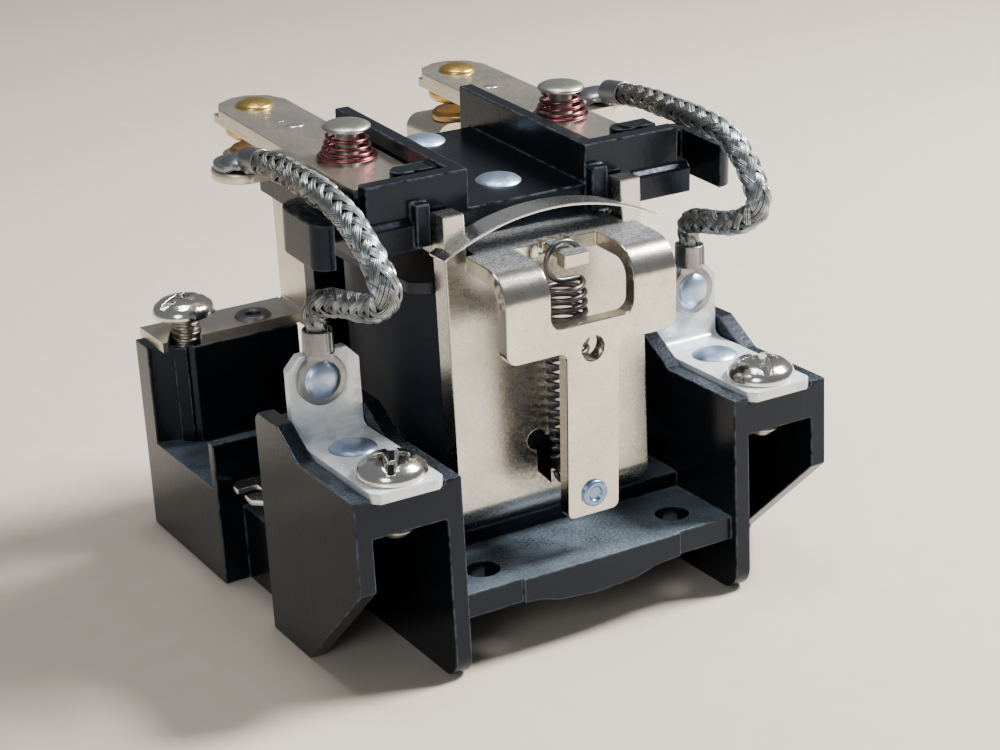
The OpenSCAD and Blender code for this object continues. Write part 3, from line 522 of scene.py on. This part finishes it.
# Contact springs and pins
# A conical spring of red-lacquered wire presses each blade down into its pocket. A headed
# nickel pin goes through it and holds its narrow end.
red = Finish("red_spring", (0.31, 0.095, 0.115), 0.22, 1.0)
red.feed("Base Color", red.blend(red.noise(700, 2), (0.41, 0.13, 0.16), (0.15, 0.04, 0.055)))
pin_metal = plated("pin_nickel", (0.55, 0.56, 0.50), (0.32, 0.33, 0.28), 0.30, soil=0.3)
blade_x, pin_y, spring_low, spring_high, turns, per_turn = 14.83, -0.56, 53.56, 56.65, 4.5, 32
for side, sign in (("left", -1), ("right", 1)):
    line = []
    for i in range(int(turns * per_turn) + 1):
        t = i / (turns * per_turn)
        a, r = 2 * pi * i / per_turn, 3.6 - 1.35 * t ** 0.8
        high = spring_low + (spring_high - spring_low) * (0.35 * t + 0.65 * t ** 1.8)
        line.append(tilted(sign * (blade_x + r * cos(a)), pin_y + r * sin(a), high))
    cone = wires(f"contact_spring_{side}_wire", [line], 0.46, red, 3)
    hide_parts(f"contact_spring_{side}")
    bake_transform(cone)
    pin = f"spring_pin_{side}"
    seat(eased(pin, 0.08), pin_metal, "armature", "pin_nickel", pin, smooth=50)

# Crimped lugs
# Tinned lugs: a flat eye under a rivet and a rolled ferrule crimped on the braid, squeezed
# a little flat, with the two edges of its seam showing.
tin = plated("crimp_tin", (0.36, 0.37, 0.39), (0.15, 0.15, 0.16), 0.28, soil=0.5)
upper_mouth, upper_rise = Vector((25.2, 0.308, 55.570)), radians(5.1)
upper_out = Vector((0, -cos(upper_rise), sin(upper_rise)))
lower_mouth = Vector((25.8, -12.6, 38.7))
upper_eye, lower_eye = Vector((25.2, 7.2, 53.3)), Vector((25.8, -12.3, 32.6))
head_r, head_base = 2.75 * MM, 0.83 * MM


def joined(*pieces):
    """Makes one piece of several; it keeps the name of the first."""
    deselect()
    for piece in pieces:
        piece.select_set(True)
    bpy.context.view_layer.objects.active = pieces[0]
    bpy.ops.object.join()
    return pieces[0]


def pale_head(lug, centre, along, radius, above):
    """Gives the faces of a rivet head on a lug the look of the zinc rivets."""
    lug.data.materials.append(zinc.material)
    for face in lug.data.polygons:
        off = face.center - centre
        high = off.dot(along)
        if high > above and (off - along * high).length < radius:
            face.material_index = 1


for side, sign in (("left", -1), ("right", 1)):
    lug = eased(f"upper_lug_{side}", 0.1)
    middle = Vector((sign * upper_mouth.x, upper_mouth.y, upper_mouth.z)) * MM
    for corner in lug.data.vertices:
        if corner.co.y < 0.0048:
            off = corner.co - middle
            square = off - upper_out * off.dot(upper_out)
            corner.co -= square * 0.23
    seat(lug, tin, f"blade_{side}", "crimp_tin", f"upper_lug_{side}", smooth=45)
    eye = tilted(sign * upper_eye.x, upper_eye.y, upper_eye.z) * MM
    pale_head(lug, eye, Vector((0, -sin(tilt), cos(tilt))), head_r, head_base)
    lug = eased(f"lower_lug_{side}", 0.1)
    foot = sign * lower_mouth.x * MM
    for corner in lug.data.vertices:
        squeeze = 1 - 0.13 * ease((corner.co.z - 0.0352) / 0.0015)
        corner.co.x = foot + (corner.co.x - foot) * squeeze
    seams = []
    for off, out in ((0.35, -1.93), (0.85, -1.82)):
        seams.append([Vector((sign * lower_mouth.x + off, lower_mouth.y + out, z))
                      for z in (36.3, 37.4, 38.6)])
    rolled = wires(f"lower_lug_{side}_seam", seams, 0.34, tin, 3)
    seat(joined(lug, rolled), tin, "base", "crimp_tin", f"lower_lug_{side}", smooth=45)
    eye = Vector((sign * lower_eye.x, lower_eye.y, lower_eye.z)) * MM
    pale_head(lug, eye, Vector((0, -1, 0)), head_r, head_base)

# Braided pigtails
# Two flat-woven braids of tinned copper wire carry the current from the front terminals to
# the moving blades. Each is one braid, held in a crimped ferrule at either end.
braid_d, held = 3.2, 2.0


def route(d):
    """The points a braid passes through; d moves its outer bend a little, as each hangs."""
    return [upper_mouth + upper_out * t for t in (-held, 0.0, 2.2)] + [Vector(p) for p in (
        (25.2, -6.5, 55.8), (25.3, -12, 55.6), (25.4, -17, 55.2), (25.5, -20.8, 54.6),
        (25.5, -24.4 + 0.5 * d, 52.9), (25.4, -27.2 + 0.8 * d, 50.6), (25.3, -28.9 + d, 48.2),
        (25.2, -28.6 + d, 46.4), (25, -25.8 + 0.8 * d, 44.7), (24.9, -21.8 + 0.3 * d, 43.6),
        (25, -17.6, 42.9), (25.4, -13.9, 42))] + [
        lower_mouth + Vector((0, 0, t)) for t in (2.0, 0.0, -held)]


def smooth_line(points, steps):
    """Points on a smooth line through the given ones."""
    line = []
    for i in range(len(points) - 1):
        a, b = points[max(0, i - 1)], points[i]
        c, d = points[i + 1], points[min(len(points) - 1, i + 2)]
        for k in range(steps):
            t = k / steps
            line.append((2 * b + (c - a) * t + (2 * a - 5 * b + 4 * c - d) * t ** 2
                         + (3 * b - a - 3 * c + d) * t ** 3) * 0.5)
    return line + [points[-1]]


def even_line(points, step):
    """The same line with its points one step apart, and a crosswise pair at each."""
    spaced, walked, wanted = [], 0.0, 0.0
    for a, b in zip(points, points[1:]):
        length = (b - a).length
        while wanted <= walked + length:
            spaced.append(a.lerp(b, (wanted - walked) / length))
            wanted += step
        walked += length
    spaced.append(points[-1])
    side = Vector((1, 0, 0))
    frames = []
    for i, point in enumerate(spaced):
        along = (spaced[min(i + 1, len(spaced) - 1)] - spaced[max(i - 1, 0)]).normalized()
        side = (side - along * side.dot(along)).normalized()
        frames.append((point, side, along.cross(side)))
    return frames, walked


tinned = Finish("tinned_braid", (0.5, 0.5, 0.49), 0.34, 1.0)
dull = tinned.noise(420, 3).over(0.40, 0.66)
spun = tinned.blend(dull, (0.50, 0.55, 0.58), (0.20, 0.21, 0.215))
# The braid is darker and warmer towards its rear end.
rearward = tinned.axis(tinned.place, "Y").over(-0.024, -0.008)
rear_tone = tinned.blend(dull, (0.31, 0.30, 0.275), (0.13, 0.12, 0.105))
tinned.feed("Base Color", tinned.blend(rearward * 0.8, spun, rear_tone))
tinned.feed("Roughness", 0.24 + 0.3 * dull)

# Six bundles run each way round, and every bundle passes over two and under two. The weave
# is gathered at each ferrule.
carriers, wires_each, wire_d, wire_gap, lay, step = 6, 6, 0.22, 0.158, 13.0, 0.32
gathered, gathered_share = 5.0, 0.70


def woven(frames, length, swell):
    """The lines of all wires of one braid; swell is how loosely it is woven."""
    strands = []
    for way in (1, -1):
        for carrier in range(carriers):
            phase = random.uniform(0, 2 * pi)
            for wire in range(wires_each):
                drift, off = random.uniform(-0.03, 0.03), (wire - (wires_each - 1) / 2)
                lift, line = random.uniform(-0.05, 0.05), []
                for i, (point, side, other) in enumerate(frames):
                    u = i * step
                    ends = min(1.0, min(u, length - u) / gathered)
                    loose = ends * sin(u * 0.55 + phase) * sin(u * 0.21 + phase * 0.7)
                    turn = 2 * pi * (carrier / carriers + way * u / lay)
                    turn += off * wire_gap + drift + 0.13 * loose
                    wave = cos(pi / 2 * (way * 2 * carriers * u / lay + 2 * carrier) + pi / 4)
                    wave = max(-1.0, min(1.0, 1.35 * way * wave))
                    r = braid_d / 2 - 0.28 + 0.2 * wave - 0.012 * off * off + lift * ends
                    drawn_in = gathered_share + (1 - gathered_share) * ends
                    r = (r + 0.10 * loose) * drawn_in * swell
                    line.append(point + side * (r * cos(turn)) + other * (r * sin(turn)))
                strands.append(line)
    return strands


def pigtail(side, part, lines, heart_line):
    """One half of a braid: its wires round a plain heart that stops the light."""
    braid = wires(f"pigtail_{side}_{part}", lines, wire_d, tinned)
    heart = wires(f"pigtail_{side}_{part}_core", [heart_line], braid_d - 1.5, tinned, 3)
    joined(braid, heart)
    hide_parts(f"pigtail_{side}")
    return braid


for side, sign, bend, swell in (("left", -1, -1, 1.04), ("right", 1, 1, 0.94)):
    random.seed(4 + sign)
    flip = Matrix.Scale(sign, 4, (1, 0, 0))
    frames, braid_length = even_line(smooth_line(route(bend), 12), step)
    frames = [(flip @ point, flip @ across, flip @ other) for point, across, other in frames]
    strands = woven(frames, braid_length, swell)
    core = [f[0] for f in frames]
    cut = next(i for i, point in enumerate(core) if point.y < -8.6)
    upper = pigtail(side, "upper", [line[:cut + 1] for line in strands], core[:cut + 1])
    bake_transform(upper)
    lower = pigtail(side, "lower", [line[cut:] for line in strands], core[cut:])
    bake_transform(lower)

# Terminal strips and rivets
# The front strips are zinc-plated, each with an upright leg for its pigtail. The rear ones
# are warm nickel, and each goes up to a fixed contact. Rivets hold them on the base.
zinc_strip = plated("zinc_strip", (0.94, 0.98, 1.0), (0.40, 0.45, 0.52), 0.30, soil=0.45)
zinc_strip.shader.inputs["Metallic"].default_value = 0.25
smear = zinc_strip.noise(420, 5, 0.7).over(0.46, 0.66)
zinc_strip.feed("Base Color", zinc_strip.blend(smear * 0.55, zinc_strip.shade, (0.38, 0.43, 0.50)))
zinc_strip.feed("Roughness", 0.2 + 0.28 * smear)
zinc_strip.bump(zinc_strip.noise(360, 4, 0.6), 0.00009, 0.6)
dark_rivet = plated("dark_rivet", (0.24, 0.24, 0.25), (0.1, 0.1, 0.1), 0.4)
for side in ("left", "right"):
    seat(eased(f"front_terminal_{side}", 0.15), zinc_strip, "base", "zinc_strip",
         f"front_terminal_{side}")
    seat(eased(f"rear_strip_{side}", 0.12, angle=95), warm, "base", "warm_nickel",
         f"rear_strip_{side}")
seat(eased("terminal_rivets", 0.08), zinc, "base", "zinc_rivet", "terminal_rivets", smooth=50)
seat(eased("strip_rivets", 0.08), dark_rivet, "base", "dark_rivet", "strip_rivets", smooth=50)

# Terminal screws
# Binding-head screws in bright nickel with a cross and a slot in the head. Below it the
# shank is a little thinner than the hole, with a rolled thread round it that is oily and painted
# darker, a painted shade inside the hole.
oily_and_shaded = plated("thread_nickel", (0.40, 0.38, 0.34), (0.16, 0.15, 0.13), 0.28, soil=0.5)
bright = plated("screw_nickel", (0.86, 0.84, 0.80), (0.5, 0.46, 0.4), 0.13, soil=0.2)
pitch, per_turn, thread_r, thread_wire, shank_share = 0.8, 20, 1.7, 0.58, 0.85
for place, x, y, seat_z, length in (
        ("front_left", -25.2, -28.2, 25.8, 7.3), ("front_right", 25.2, -28.2, 25.8, 7.3),
        ("rear_left", -26.6, 27.3, 30.0, 9.0), ("rear_right", 26.6, 27.3, 30.0, 9.0)):
    screw = eased(f"screw_{place}", 0.1)
    for corner in screw.data.vertices:
        across = Vector((corner.co.x - x * MM, corner.co.y - y * MM)).length
        if corner.co.z < (seat_z + 0.15) * MM and across < 2.15 * MM:
            corner.co.x = x * MM + (corner.co.x - x * MM) * shank_share
            corner.co.y = y * MM + (corner.co.y - y * MM) * shank_share
    line = []
    for i in range(int((length - 0.9) / pitch * per_turn)):
        a = 2 * pi * i / per_turn
        line.append(Vector((x + thread_r * cos(a), y + thread_r * sin(a),
                            seat_z - 0.3 - pitch * i / per_turn)))
    thread = wires(f"screw_{place}_thread", [line], thread_wire, bright, 2)
    seat(joined(screw, thread), bright, f"screw_{place}", "screw_nickel", f"screw_{place}",
         smooth=62)
    # The thread below the seat is painted darker: partly oil and partly painted shade inside the
    # hole.
    screw.data.materials.append(oily_and_shaded.material)
    for face in screw.data.polygons:
        face.material_index = int(face.center.z < (seat_z - 0.02) * MM)
